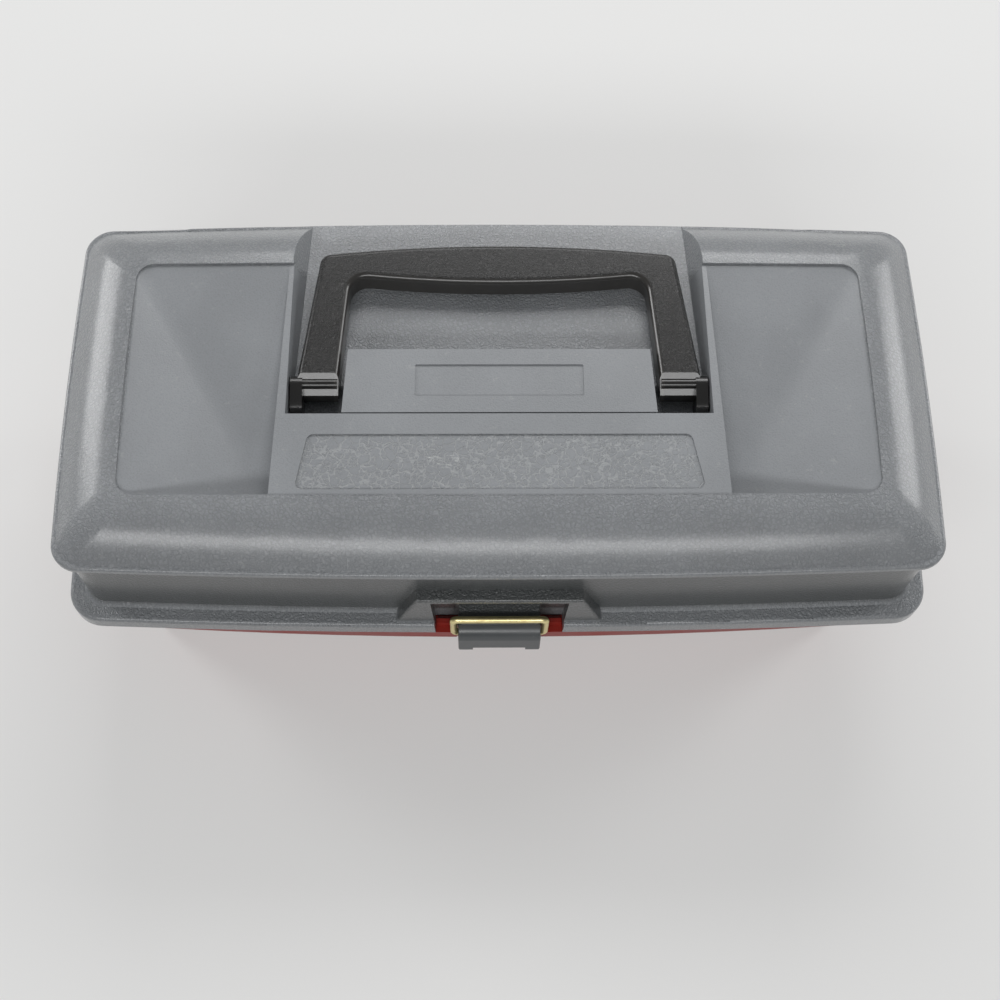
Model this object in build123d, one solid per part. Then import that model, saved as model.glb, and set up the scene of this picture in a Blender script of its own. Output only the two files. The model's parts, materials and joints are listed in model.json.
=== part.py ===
from build123d import *
from math import atan2, degrees
import os

# A one-tray tackle box: millimetres, X along the length, the latch faces -Y, Z up,
# origin at the middle of the underside.

# Heights of the two shells
PARTING_Z = 64.0
FLANGE_H = 7.0
WALL_H = 40.5
LIP_UNDER_H = 2.0
LIP_BAND_H = 2.5
LIP_TOP_R = 1.3
CROWN_RISE = 13.0
FIELD_DROP = 1.0
FIELD_RIM = 0.4

# Plan of the lid rim, measured at its corners, with the bow of its sides
RIM_HALF_L = 165.0
RIM_HALF_W = 72.9
BOW_END = 1.4
BOW_SIDE = 3.7
RIM_CORNER_R = 11.0
UNDERCUT = 3.6
FLANGE_PROUD = 3.7
FLANGE_EDGE_R = 1.6
COVE = 1.8
LIP_STEP = 1.8
WALL_DRAFT = 0.6
SHOULDER_L = 24.3
SHOULDER_W = 23.5
CROWN_BOW = 0.8
CROWN_CORNER_R = 7.0
LID_WALL = 2.2
CROWN_STEPS = (0.0, 0.14, 0.32, 0.6, 1.0)

# Dished pans at both ends of the top
PAN_INNER_BACK_X = 81.4
PAN_INNER_FRONT_X = 84.8
PAN_MARGIN = 0.9
PAN_DEPTH = 10.5
PAN_VALLEY_R = 30.0

# Channel in which the folded handle lies, open at the back
CHANNEL_HALF_X = 80.3
CHANNEL_FOOT_X = 79.7
CHANNEL_FOOT_BACK_X = 74.6
CHANNEL_FRONT_Y = -15.7
CHANNEL_FLOOR_DROP = 10.4
CHANNEL_RUNOUT = 1.6
POCKET_DROP = 14.6
POCKET_BACK_Y = 1.5

# Raised block between the handle's legs, and the console in front of it
BLOCK_HALF_X = 59.3
BLOCK_TAPER = 1.6
BLOCK_BACK_Y = 12.0
BLOCK_DROP = 0.5
BLOCK_SLOT = 0.8
BLOCK_SLOT_DEPTH = 2.0
LABEL_HALF_X = 31.9
LABEL_BACK_Y = 5.4
LABEL_FRONT_Y = -8.0
CONSOLE_LABEL_BACK_X = 71.4
CONSOLE_LABEL_FRONT_X = 75.6
CONSOLE_LABEL_BACK_Y = -24.2
CONSOLE_LABEL_FRONT_Y = -46.6
LABEL_DEPTH = 0.6
LABEL_R = 2.8
BLOCK_LABEL_R = 0.6

# Carrying handle
HANDLE_AXIS_Y = -7.6
HANDLE_AXIS_DROP = 8.6
HANDLE_PEG_R = 1.8
HANDLE_PEG_L = 4.2
EAR_R = 5.4
EAR_T = 4.5
HANDLE_SIDE_GAP = 0.6
HANDLE_T = 9.2
HANDLE_TOP_DROP = 0.6
HANDLE_ROUND = 2.2
EAR_REACH = 6.1
EAR_STEP = 0.8
LEG_FOOT_STEP = 1.5
LEG_FLARE = 1.6
LEG_BEVEL_BACK = 9.6
LEG_BEVEL_FOOT = 1.2
LEG_LIP_H = 3.4
LEG_BAR_R = 1.9
GRIP_BACK_Y = 59.2
GRIP_FRONT_Y = 41.8
GRIP_CORNER_X = 69.4
GRIP_CORNER_Y = 54.9
GRIP_CORNER_R = 4.5
FINGER_CORNER_X = 57.6
FINGER_CORNER_Y = 45.4
FINGER_CORNER_R = 7.0
LEG_IN_X = 61.5
PEG_BOSS_L = 7.0

# Base tub: a rim band that bows out more than the lid, and a wall set back under it
BAND_PROUD_L = 1.6
BAND_PROUD_W = 0.9
BAND_BOW_SIDE = 6.5
BAND_CORNER_R = 12.0
BAND_H = 5.6
BAND_TOP_T = 2.6
BAND_SKIRT_T = 2.2
TUB_SETBACK = 7.2
TUB_DRAFT = 12.0
BASE_WALL = 2.6
BASE_FLOOR = 3.0
BASE_FOOT_R = 4.0
DUST_LIP_H = 3.0
DUST_LIP_T = 1.8
DUST_LIP_GAP = 0.8

# Hinge at the back
HINGE_OUT = 5.7
KNUCKLE_R = 4.5
HINGE_PIN_R = 1.5
HINGE_CENTRES_X = 100.0
LID_KNUCKLE_HALF = 7.6
BASE_KNUCKLE_L = 8.0
KNUCKLE_GAP = 0.4
KNUCKLE_ROOT = 1.0
HINGE_PIN_PROUD = 0.8

# Running fit of every turning pin, and how far a cut runs past the face that it opens
FIT = 0.05
OVER = 1.0

# How much of an offset a plan's corners follow, and how the skin thins on a slope
CORNER_FOLLOW = 0.6
SKIN_EASE = 0.4

# Draw latch at the front
LATCH_PROUD = 0.7
LATCH_AXIS_Z = PARTING_Z + 8.0
LATCH_PIN_R = 1.3
LEVER_HALF_X = 16.0
CHEEK_T = 3.0
LEVER_R = 5.6
LEVER_SKIN = 1.9
LEVER_DROP = 10.5
LEVER_EDGE = 0.4
LEVER_EYE_R = 2.7
LEVER_EYE_HALF_H = 1.8
LEVER_LIP_T = 3.0
LEVER_LIP_DROP = 0.6
LEVER_BACK = 4.6
LATCH_PIN_SHORT = 0.2
LUG_HALF_X = 9.5
LUG_R = 3.2
LUG_FOOT_DROP = 14.0
LUG_FOOT_R = 1.0
NUB_HALF_X = 9.5
NUB_TOP_DROP = 9.0
NUB_T = 2.4
NUB_REACH = 4.2
NOTCH_CLEAR = 0.8
BAIL_PIVOT_DY = 0.5
BAIL_PIVOT_DZ = -6.2
BAIL_WIRE_R = 1.4
BAIL_LEG_X = 17.8
BAIL_BEND_R = 1.9
BAIL_HEIGHT = 16.7
BAIL_END_PROUD = 0.4
BAIL_LEAN = 0.9
CATCH_HALF_X = 15.5
CATCH_T = 2.8
CATCH_REACH = 0.6
CATCH_GAP = 0.25
ARCH_TOP_H = 30.0
ARCH_SKIN = 2.2
ARCH_PROUD = 5.2
ARCH_EDGE_R = 1.2
ARCH_OPEN_FOOT_X = 25.0
ARCH_OPEN_TOP_X = 26.4
ARCH_FOOT_X = 41.0
ARCH_TOP_X = 31.8
ARCH_SHOULDER_H = 5.0
ARCH_LEG_DROP = 7.0
ARCH_LEG_T = 1.6

# Cantilever tray: every arm turns through the same angle as the lid
TRAY_SIDE_ROOM = 11.9
TRAY_FRONT_ROOM = 6.1
TRAY_BACK_ROOM = 9.6
TRAY_FOOT_DROP = 14.0
TRAY_H = 36.0
TRAY_WALL = 2.2
TRAY_CORNER_R = 8.0
TRAY_FOOT_BEVEL = 1.5
TRAY_LONG_WALL_Y = -11.0
TRAY_CROSS_WALL_X = 42.0
DIVIDER_T = 1.6
DIVIDER_CENTRES_X = (-74.0, 0.0, 74.0)
DIVIDER_GAP = 0.2
DIVIDER_LOWER = 2.0
DIVIDER_DIP = 6.0
DIVIDER_DIP_TOP = 9.0
DIVIDER_DIP_FOOT = 6.0
RIB_T = 1.4
RIB_REACH = 1.4
RIB_ROOT = 0.2
TRAY_BOSS_R = 4.0
TRAY_BOSS_GAP = 0.3
ARM_GAP = 1.6
ARM_T = 2.2
LINK_GAP = 1.6
LINK_T = 2.0
SIDE_GAP = 0.4
BOSS_GAP = 1.5
ARM_BACK_ROOM = 14.6
ARM_BASE_DROP = 10.5
ARM_REACH_Y = -47.8
ARM_REACH_Z = 4.2
ARM_SPACING = -58.2
LINK_REACH_Y = -38.0
LINK_REACH_Z = 16.0
ARM_END_R = 5.2
LINK_END_R = 4.5
LINK_RIVET_PROUD = 0.3
BOSS_R = 6.0
RIVET_R = 1.8
RIVET_HEAD_R = 3.4
RIVET_HEAD_T = 1.0
RIVET_SKIN = 0.6
RIVET_PLAY = 0.1
RIVET_TAIL = 0.8
COLLAR_R = 2.8


def micron(length):
    """The length to the nearest thousandth of a millimetre, so that sums come out clean"""
    return round(length, 3)


# Heights and places that follow from the sizes above
CROWN_HALF_L = micron(RIM_HALF_L - SHOULDER_L)
CROWN_HALF_W = micron(RIM_HALF_W - SHOULDER_W)
BAND_HALF_L = micron(RIM_HALF_L + BAND_PROUD_L)
BAND_HALF_W = micron(RIM_HALF_W + BAND_PROUD_W)
BAND_FRONT_Y = micron(-(BAND_HALF_W + BAND_BOW_SIDE))
TUB_HALF_L = micron(BAND_HALF_L - TUB_SETBACK)
TUB_HALF_W = micron(BAND_HALF_W - TUB_SETBACK)
HINGE_Y = micron(-BAND_FRONT_Y + HINGE_OUT)
LATCH_AXIS_Y = micron(BAND_FRONT_Y - LATCH_PROUD)
TRAY_HALF_L = micron(TUB_HALF_L - TRAY_SIDE_ROOM)
TRAY_FRONT_Y = micron(TRAY_FRONT_ROOM - TUB_HALF_W)
TRAY_BACK_Y = micron(TUB_HALF_W - TRAY_BACK_ROOM)
ARM_IN_X = micron(TRAY_HALF_L + ARM_GAP)
LINK_IN_X = micron(ARM_IN_X + ARM_T + LINK_GAP)
BOSS_IN_X = micron(ARM_IN_X + ARM_T + BOSS_GAP)
ARM_BASE_Y = micron(TUB_HALF_W - ARM_BACK_ROOM)
WALL_TOP_Z = PARTING_Z + FLANGE_H + WALL_H
BAND_TOP_Z = WALL_TOP_Z + LIP_UNDER_H + LIP_BAND_H
CROWN_Z = BAND_TOP_Z + CROWN_RISE
FIELD_Z = CROWN_Z - FIELD_DROP
CHANNEL_Z = FIELD_Z - CHANNEL_FLOOR_DROP
POCKET_Z = FIELD_Z - POCKET_DROP
HANDLE_AXIS_Z = FIELD_Z - HANDLE_AXIS_DROP
HANDLE_TOP_Z = FIELD_Z - HANDLE_TOP_DROP
HANDLE_OUT_X = CHANNEL_FOOT_X - HANDLE_SIDE_GAP
BAIL_PIVOT_Y = LATCH_AXIS_Y + BAIL_PIVOT_DY
BAIL_PIVOT_Z = LATCH_AXIS_Z + BAIL_PIVOT_DZ
BAIL_BAR_Y = BAIL_PIVOT_Y - BAIL_LEAN
BAIL_BAR_Z = BAIL_PIVOT_Z + BAIL_HEIGHT
ARM_BASE_Z = PARTING_Z - ARM_BASE_DROP
TRAY_FOOT_Z = PARTING_Z - TRAY_FOOT_DROP
TRAY_TOP_Z = TRAY_FOOT_Z + TRAY_H
BASE_REAR = (ARM_BASE_Y, ARM_BASE_Z)
BASE_FRONT = (ARM_BASE_Y + ARM_SPACING, ARM_BASE_Z)
TRAY_REAR = (BASE_REAR[0] + ARM_REACH_Y, BASE_REAR[1] + ARM_REACH_Z)
TRAY_FRONT = (BASE_FRONT[0] + ARM_REACH_Y, BASE_FRONT[1] + ARM_REACH_Z)
LINK_LOW = (BASE_REAR[0] + LINK_REACH_Y, BASE_REAR[1] + LINK_REACH_Z)
LINK_HIGH = (HINGE_Y + LINK_REACH_Y, PARTING_Z + LINK_REACH_Z)
LEVER_FRONT_Y = LATCH_AXIS_Y - LEVER_R
FLANGE_TOP_Z = PARTING_Z + FLANGE_H
LID_WALL_Y = micron(-(RIM_HALF_W + BOW_SIDE - UNDERCUT))
TUB_WALL_Y = micron(-(TUB_HALF_W + BAND_BOW_SIDE))
BOSS_END_X = TUB_HALF_L - TUB_DRAFT * ARM_BASE_DROP / PARTING_Z - BASE_WALL / 2
RIVET_END_X = BOSS_END_X - RIVET_SKIN
LID_RIVET_END_X = RIM_HALF_L - UNDERCUT - LID_WALL / 2

# Plan outlines as half length, half width, end bow, side bow and corner radius
RIM = (RIM_HALF_L, RIM_HALF_W, BOW_END, BOW_SIDE, RIM_CORNER_R)
CROWN = (CROWN_HALF_L, CROWN_HALF_W, CROWN_BOW, CROWN_BOW, CROWN_CORNER_R)
BAND = (BAND_HALF_L, BAND_HALF_W, BOW_END, BAND_BOW_SIDE, BAND_CORNER_R)


def shrink(plan, inset):
    """The same plan outline moved in by inset, or out when inset is negative"""
    half_l, half_w, bow_end, bow_side, corner = plan
    return (half_l - inset, half_w - inset, bow_end, bow_side, corner - CORNER_FOLLOW * inset)


def between(first, second, share):
    """Plan outline part of the way from the first one to the second"""
    return tuple(a + (b - a) * share for a, b in zip(first, second))


def outline(plan, z):
    """Rounded rectangle with gently bowed sides, lying at height z"""
    half_l, half_w, bow_end, bow_side, corner = plan
    sides = [
        ThreePointArc((-half_l, -half_w), (0, -half_w - bow_side), (half_l, -half_w)),
        ThreePointArc((half_l, -half_w), (half_l + bow_end, 0), (half_l, half_w)),
        ThreePointArc((half_l, half_w), (0, half_w + bow_side), (-half_l, half_w)),
        ThreePointArc((-half_l, half_w), (-half_l - bow_end, 0), (-half_l, -half_w)),
    ]
    face = make_face(sides)
    return Pos(0, 0, z) * fillet(face.vertices(), corner)


def slab(plan, z0, z1):
    """Straight-sided solid of one plan outline"""
    return extrude(outline(plan, z0), amount=z1 - z0)


def tapered(low_plan, z0, high_plan, z1):
    """Solid whose outline changes evenly from one plan to another"""
    return loft([outline(low_plan, z0), outline(high_plan, z1)], ruled=True)


def drafted(plan, z0, z1, inset):
    """Solid on one plan outline whose wall has moved in by inset at z1"""
    slope = degrees(atan2(inset, abs(z1 - z0)))
    return extrude(outline(plan, z0), amount=z1 - z0, taper=slope)


def block(x0, x1, y0, y1, z0, z1):
    """Plain block between two opposite corners"""
    place = Pos((x0 + x1) / 2, (y0 + y1) / 2, (z0 + z1) / 2)
    return place * Box(x1 - x0, y1 - y0, z1 - z0)


def rod(radius, x0, x1, centre):
    """Cylinder along X about a centre given as Y and Z"""
    return Pos((x0 + x1) / 2, centre[0], centre[1]) * Rot(0, 90, 0) * Cylinder(radius, x1 - x0)


def side_plate(points, x0, x1):
    """Solid with a Y-Z outline, from x0 to x1"""
    face = Plane.YZ.offset(x0) * make_face(Polyline(*points, close=True))
    return extrude(face, amount=x1 - x0)


def front_plate(points, y0, y1):
    """Solid with an X-Z outline, from y0 to y1"""
    face = Plane.XZ.offset(-y0) * make_face(Polyline(*points, close=True))
    return extrude(face, amount=y0 - y1)


def strap(centres, radii, x0, x1):
    """Flat arm round a few pivots, given as Y and Z, from x0 to x1"""
    rings = [Pos(y, z) * Circle(r).edge() for (y, z), r in zip(centres, radii)]
    return extrude(Plane.YZ.offset(x0) * make_hull(rings), amount=x1 - x0)


def both_sides(solid):
    """A right-hand piece with its mirror image on the left"""
    return {"right": solid, "left": mirror(solid, about=Plane.YZ)}


def crown_shape(skin):
    """The lid above its wall; skin is 0 outside and the wall thickness inside"""
    sections = []
    for step in CROWN_STEPS:
        rise = CROWN_RISE * (1 - (1 - step) ** 2)
        across = skin * (1 - (1 - SKIN_EASE) * step)
        down = skin * (SKIN_EASE + (1 - SKIN_EASE) * step)
        plan = shrink(between(shrink(RIM, LIP_STEP), CROWN, step), across)
        sections.append(outline(plan, BAND_TOP_Z + rise - down))
    return loft(sections)


def pan_cut(side, skin):
    """Dished pan: two slopes that meet in a valley from the outer back corner"""
    outer_x = CROWN_HALF_L - PAN_MARGIN + skin
    back_y = CROWN_HALF_W - PAN_MARGIN + skin
    front_y = -back_y
    inner_back = PAN_INNER_BACK_X - skin
    inner_front = PAN_INNER_FRONT_X - skin
    plan = Polyline((inner_back, back_y), (outer_x, back_y), (outer_x, front_y), (inner_front, front_y),
                    close=True)
    room = extrude(Pos(0, 0, FIELD_Z - 2 * PAN_DEPTH) * make_face(plan), amount=4 * PAN_DEPTH)
    corners = room.edges().filter_by(Axis.Z).sort_by(Axis.X)[-2:]
    room = fillet(corners, CROWN_CORNER_R - PAN_MARGIN)
    deep_z = FIELD_Z - PAN_DEPTH
    top_z = FIELD_Z + 2 * PAN_DEPTH
    back_wedge = side_plate([(back_y, FIELD_Z - skin), (front_y, deep_z - skin), (front_y, top_z),
                             (back_y, top_z)], 0, outer_x + OVER)
    end_wedge = front_plate([(outer_x, FIELD_Z - skin), (inner_front, deep_z - skin), (0, deep_z - skin),
                             (0, top_z), (outer_x, top_z)], front_y - OVER, back_y + OVER)
    dish = back_wedge & end_wedge
    valley = [e for e in dish.edges() if abs(e.tangent_at(0.5).X * e.tangent_at(0.5).Y) > 0.05]
    dish = fillet(valley, PAN_VALLEY_R)
    cut = dish & room
    return cut if side > 0 else mirror(cut, about=Plane.YZ)


def channel_cut(skin):
    """Handle channel with sloping side walls and a floor that runs out at the back"""
    front_y = CHANNEL_FRONT_Y - skin
    back_y = RIM_HALF_W + BOW_SIDE + OVER
    floor_z = CHANNEL_Z - skin
    back_z = floor_z - CHANNEL_RUNOUT * (back_y - front_y) / RIM_HALF_W
    top_z = CROWN_Z + OVER
    foot_x = CHANNEL_FOOT_X + skin
    back_x = CHANNEL_FOOT_BACK_X + skin
    wide_x = CHANNEL_HALF_X + skin
    foot = make_face(Polyline((-foot_x, front_y, floor_z), (foot_x, front_y, floor_z),
                              (back_x, back_y, back_z), (-back_x, back_y, back_z), close=True))
    mouth = make_face(Polyline((-wide_x, front_y, top_z), (wide_x, front_y, top_z),
                               (wide_x, back_y, top_z), (-wide_x, back_y, top_z), close=True))
    cut = loft([foot, mouth], ruled=True)
    centre = centre_block(skin)
    for side in (-1, 1):
        x0, x1 = sorted((side * (BLOCK_HALF_X - skin), side * foot_x))
        cut += block(x0, x1, front_y, POCKET_BACK_Y + skin, POCKET_Z - skin, top_z) - centre
    return cut - centre


def centre_block(skin):
    """Raised block that stays between the handle's legs"""
    foot_z = POCKET_Z - 2 * LID_WALL - OVER
    wide = BLOCK_HALF_X - skin
    narrow = wide - BLOCK_TAPER
    plan = Polyline((-wide, CHANNEL_FRONT_Y - skin), (wide, CHANNEL_FRONT_Y - skin),
                    (narrow, BLOCK_BACK_Y - skin), (-narrow, BLOCK_BACK_Y - skin), close=True)
    return extrude(Pos(0, 0, foot_z) * make_face(plan), amount=FIELD_Z - BLOCK_DROP - skin - foot_z)


def label_cut(back_x, back_y, front_x, front_y, top_z, radius):
    """Shallow panel sunk in the top for a label"""
    corners = [(-back_x, back_y), (back_x, back_y), (front_x, front_y), (-front_x, front_y)]
    plan = make_face(Polyline(*corners, close=True))
    plan = fillet(plan.vertices(), radius)
    return extrude(Pos(0, 0, top_z - LABEL_DEPTH) * plan, amount=LABEL_DEPTH + OVER)


def latch_arch():
    """Flange of the lid carried up and over the latch"""
    wall_y = LID_WALL_Y
    face_y = wall_y - ARCH_PROUD
    foot_z = PARTING_Z
    top_z = PARTING_Z + ARCH_TOP_H
    shoulder_z = foot_z + ARCH_SHOULDER_H
    outer = front_plate([(-ARCH_FOOT_X, foot_z), (-ARCH_FOOT_X, shoulder_z), (-ARCH_TOP_X, top_z),
                         (ARCH_TOP_X, top_z), (ARCH_FOOT_X, shoulder_z), (ARCH_FOOT_X, foot_z)],
                        face_y, wall_y + LID_WALL / 2)
    rims = outer.faces().sort_by(Axis.Y)[0].edges().filter_by(lambda e: e.center().Z > foot_z + OVER)
    return fillet(rims, ARCH_EDGE_R)


def arch_opening():
    """Space inside the arch for the latch, open below"""
    wall_y = LID_WALL_Y
    top_z = PARTING_Z + ARCH_TOP_H - ARCH_SKIN
    foot_z = PARTING_Z - OVER
    return front_plate([(-ARCH_OPEN_FOOT_X, foot_z), (-ARCH_OPEN_TOP_X, top_z), (ARCH_OPEN_TOP_X, top_z),
                        (ARCH_OPEN_FOOT_X, foot_z)], wall_y - FLANGE_PROUD - UNDERCUT - ARCH_PROUD, wall_y)


def catch():
    """Ledge on the lid wall over which the bail hooks"""
    top_z = BAIL_BAR_Z - BAIL_WIRE_R - CATCH_GAP
    front_y = BAIL_BAR_Y - CATCH_REACH
    ledge = block(-CATCH_HALF_X, CATCH_HALF_X, front_y, LID_WALL_Y + LID_WALL / 2, top_z - CATCH_T, top_z)
    ends = ledge.edges().filter_by(Axis.Z).sort_by(Axis.Y)[:2]
    return fillet(ends, CATCH_T / 2)


def knuckle(x0, x1, plan, web_h):
    """Hinge knuckle with the web that joins it to a rim, above the parting line or below it"""
    half_l, half_w, bow_end, bow_side, corner = plan
    far_x = max(abs(x0), abs(x1))
    rim_y = half_w + bow_side * (1 - (far_x / half_l) ** 2) - KNUCKLE_ROOT
    z0, z1 = sorted((PARTING_Z, PARTING_Z + web_h))
    return rod(KNUCKLE_R, x0, x1, (HINGE_Y, PARTING_Z)) + block(x0, x1, rim_y, HINGE_Y, z0, z1)


def lid_shell():
    """Moulded lid: flange, undercut wall, rolled rim, crown, pans, channel and catch"""
    wall = shrink(RIM, UNDERCUT)
    wall_top = shrink(wall, -WALL_DRAFT)
    flange = shrink(RIM, -FLANGE_PROUD)
    lid = slab(flange, PARTING_Z, FLANGE_TOP_Z)
    lid = fillet(lid.edges().group_by(Axis.Z)[-1], FLANGE_EDGE_R)
    lid += tapered(wall, PARTING_Z, wall_top, WALL_TOP_Z)
    cove_foot = shrink(wall, -2 * COVE)
    lid += tapered(cove_foot, FLANGE_TOP_Z - COVE, shrink(wall, COVE), FLANGE_TOP_Z + 2 * COVE)
    bead = slab(RIM, WALL_TOP_Z + LIP_UNDER_H, BAND_TOP_Z)
    lid += fillet(bead.edges().group_by(Axis.Z)[-1], LIP_TOP_R)
    lid += tapered(wall_top, WALL_TOP_Z, RIM, WALL_TOP_Z + LIP_UNDER_H)
    lid += crown_shape(0)
    lid += latch_arch()
    lid -= arch_opening()
    lid -= slab(shrink(CROWN, FIELD_RIM), FIELD_Z, CROWN_Z + OVER)

    low_z = PARTING_Z - OVER
    hollow = slab(shrink(flange, LID_WALL), low_z, FLANGE_TOP_Z - LID_WALL)
    keep = ARCH_OPEN_FOOT_X + LID_WALL
    hollow -= block(-keep, keep, BAND_FRONT_Y, -RIM_HALF_W / 2, low_z, FLANGE_TOP_Z)
    hollow += tapered(shrink(wall, LID_WALL), low_z, shrink(wall_top, LID_WALL), WALL_TOP_Z)
    crown_room = slab(shrink(wall_top, LID_WALL), WALL_TOP_Z, BAND_TOP_Z - SKIN_EASE * LID_WALL)
    crown_room += crown_shape(LID_WALL)
    for side in (-1, 1):
        crown_room -= pan_cut(side, LID_WALL)
    crown_room -= channel_cut(LID_WALL)
    crown_room -= slab(CROWN, FIELD_Z - LID_WALL, CROWN_Z)
    lid -= hollow + crown_room

    for side in (-1, 1):
        lid -= pan_cut(side, 0)
        leg_in = ARCH_OPEN_TOP_X + LID_WALL
        leg_out = ARCH_FOOT_X - LID_WALL
        leg_top = PARTING_Z + ARCH_TOP_H - ARCH_LEG_DROP
        hollow_leg = [(leg_in, low_z), (leg_out, low_z), (leg_out, PARTING_Z + ARCH_SHOULDER_H),
                      (leg_in + ARCH_LEG_T, leg_top), (leg_in, leg_top)]
        points = [(side * x, z) for x, z in hollow_leg]
        lid -= front_plate(points, LID_WALL_Y - ARCH_PROUD + LID_WALL, LID_WALL_Y + LID_WALL + OVER)
    lid -= channel_cut(0)
    slot_z = FIELD_Z - BLOCK_SLOT_DEPTH
    slot_y = CHANNEL_FRONT_Y + BLOCK_SLOT
    lid -= block(-BLOCK_HALF_X, BLOCK_HALF_X, CHANNEL_FRONT_Y, slot_y, slot_z, CROWN_Z)
    lid -= block(-BLOCK_HALF_X, BLOCK_HALF_X, CHANNEL_FRONT_Y, BLOCK_BACK_Y, FIELD_Z - BLOCK_DROP, CROWN_Z)
    lid -= label_cut(LABEL_HALF_X, LABEL_BACK_Y, LABEL_HALF_X, LABEL_FRONT_Y, FIELD_Z - BLOCK_DROP,
                     BLOCK_LABEL_R)
    lid -= label_cut(CONSOLE_LABEL_BACK_X, CONSOLE_LABEL_BACK_Y, CONSOLE_LABEL_FRONT_X, CONSOLE_LABEL_FRONT_Y,
                     FIELD_Z, LABEL_R)

    lid += catch()
    peg_out = CHANNEL_FOOT_X + PEG_BOSS_L
    link_face = LINK_IN_X + LINK_T + SIDE_GAP
    for side in (-1, 1):
        x0, x1 = sorted((side * CHANNEL_FOOT_X, side * peg_out))
        boss = block(x0, x1, HANDLE_AXIS_Y - EAR_R, HANDLE_AXIS_Y + EAR_R, POCKET_Z - LID_WALL,
                     HANDLE_AXIS_Z + HANDLE_PEG_R)
        lid += boss
        x0, x1 = sorted((side * (CHANNEL_FOOT_X - OVER), side * (HANDLE_OUT_X + HANDLE_PEG_L + FIT)))
        lid -= rod(HANDLE_PEG_R + FIT, x0, x1, (HANDLE_AXIS_Y, HANDLE_AXIS_Z))
        x0, x1 = sorted((side * link_face, side * (RIM_HALF_L - UNDERCUT)))
        lid += rod(BOSS_R, x0, x1, LINK_HIGH)
        x0, x1 = sorted((side * link_face, side * LID_RIVET_END_X))
        lid -= rod(RIVET_R, x0, x1, LINK_HIGH)
        centre = side * HINGE_CENTRES_X
        lid += knuckle(centre - LID_KNUCKLE_HALF, centre + LID_KNUCKLE_HALF, flange, KNUCKLE_R)
        reach = LID_KNUCKLE_HALF + KNUCKLE_GAP / 2
        lid -= rod(HINGE_PIN_R + FIT, centre - reach, centre + reach, (HINGE_Y, PARTING_Z))
    return lid


def latch_lug():
    """Lug on the base that carries the lever's pin and stands out between its cheeks"""
    root_y = TUB_WALL_Y + BASE_WALL / 2
    foot_z = PARTING_Z - LUG_FOOT_DROP
    front = (LATCH_AXIS_Y, LATCH_AXIS_Z)
    lug = strap([front, (root_y, foot_z)], [LUG_R, LUG_FOOT_R], -LUG_HALF_X, LUG_HALF_X)
    web = [(root_y, foot_z), (root_y, PARTING_Z), (LID_WALL_Y - SIDE_GAP, PARTING_Z),
           (LATCH_AXIS_Y + LUG_R, LATCH_AXIS_Z), front]
    return lug + side_plate(web, -LUG_HALF_X, LUG_HALF_X)


def base_tub():
    """Moulded base: drafted tub, rim band, dust lip, arm bosses, hinge knuckles and latch lug"""
    wall = shrink(BAND, TUB_SETBACK)
    band_foot_z = PARTING_Z - BAND_H
    tub = slab(BAND, band_foot_z, PARTING_Z)
    tub -= slab(shrink(BAND, BAND_SKIRT_T), band_foot_z - OVER, PARTING_Z - BAND_TOP_T)
    shell = drafted(wall, PARTING_Z, 0, TUB_DRAFT)
    tub += fillet(shell.edges().group_by(Axis.Z)[0], BASE_FOOT_R)
    lip = shrink(RIM, LID_WALL + DUST_LIP_GAP - FLANGE_PROUD)
    tub += slab(lip, PARTING_Z, PARTING_Z + DUST_LIP_H)
    lip_top = PARTING_Z + DUST_LIP_H + OVER
    tub -= slab(shrink(lip, DUST_LIP_T), PARTING_Z, lip_top)
    draft = TUB_DRAFT * (1 - BASE_FLOOR / PARTING_Z)
    tub -= drafted(shrink(wall, BASE_WALL), PARTING_Z, BASE_FLOOR, draft)

    notch = LEVER_HALF_X + NOTCH_CLEAR
    tub -= block(-notch, notch, BAND_FRONT_Y - OVER, BAIL_PIVOT_Y + LEVER_EYE_R + NOTCH_CLEAR,
                 band_foot_z - OVER, lip_top)
    cheek = ARCH_OPEN_FOOT_X - SIDE_GAP
    tub -= block(-notch, notch, BAND_FRONT_Y - OVER, LID_WALL_Y + OVER, PARTING_Z, lip_top)
    for side in (-1, 1):
        x0, x1 = sorted((side * cheek, side * (ARCH_OPEN_FOOT_X + LID_WALL + SIDE_GAP)))
        tub -= block(x0, x1, BAND_FRONT_Y - OVER, LID_WALL_Y + OVER, PARTING_Z, lip_top)
    tub += latch_lug()
    nub_z = LATCH_AXIS_Z - NUB_TOP_DROP
    tub += block(-NUB_HALF_X, NUB_HALF_X, LATCH_AXIS_Y - NUB_REACH, TUB_WALL_Y, nub_z - NUB_T, nub_z)
    tub -= rod(LATCH_PIN_R, -LUG_HALF_X - OVER, LUG_HALF_X + OVER, (LATCH_AXIS_Y, LATCH_AXIS_Z))

    for side in (-1, 1):
        for centre in (BASE_REAR, BASE_FRONT):
            x0, x1 = sorted((side * BOSS_IN_X, side * BOSS_END_X))
            tub += rod(BOSS_R, x0, x1, centre)
            x0, x1 = sorted((side * (BOSS_IN_X - OVER), side * RIVET_END_X))
            tub -= rod(RIVET_R, x0, x1, centre)
        for end in (-1, 1):
            near = side * HINGE_CENTRES_X + end * (LID_KNUCKLE_HALF + KNUCKLE_GAP)
            x0, x1 = sorted((near, near + end * BASE_KNUCKLE_L))
            tub += knuckle(x0, x1, BAND, -KNUCKLE_R)
            tub -= rod(HINGE_PIN_R, x0 - OVER, x1 + OVER, (HINGE_Y, PARTING_Z))
    return tub


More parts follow.
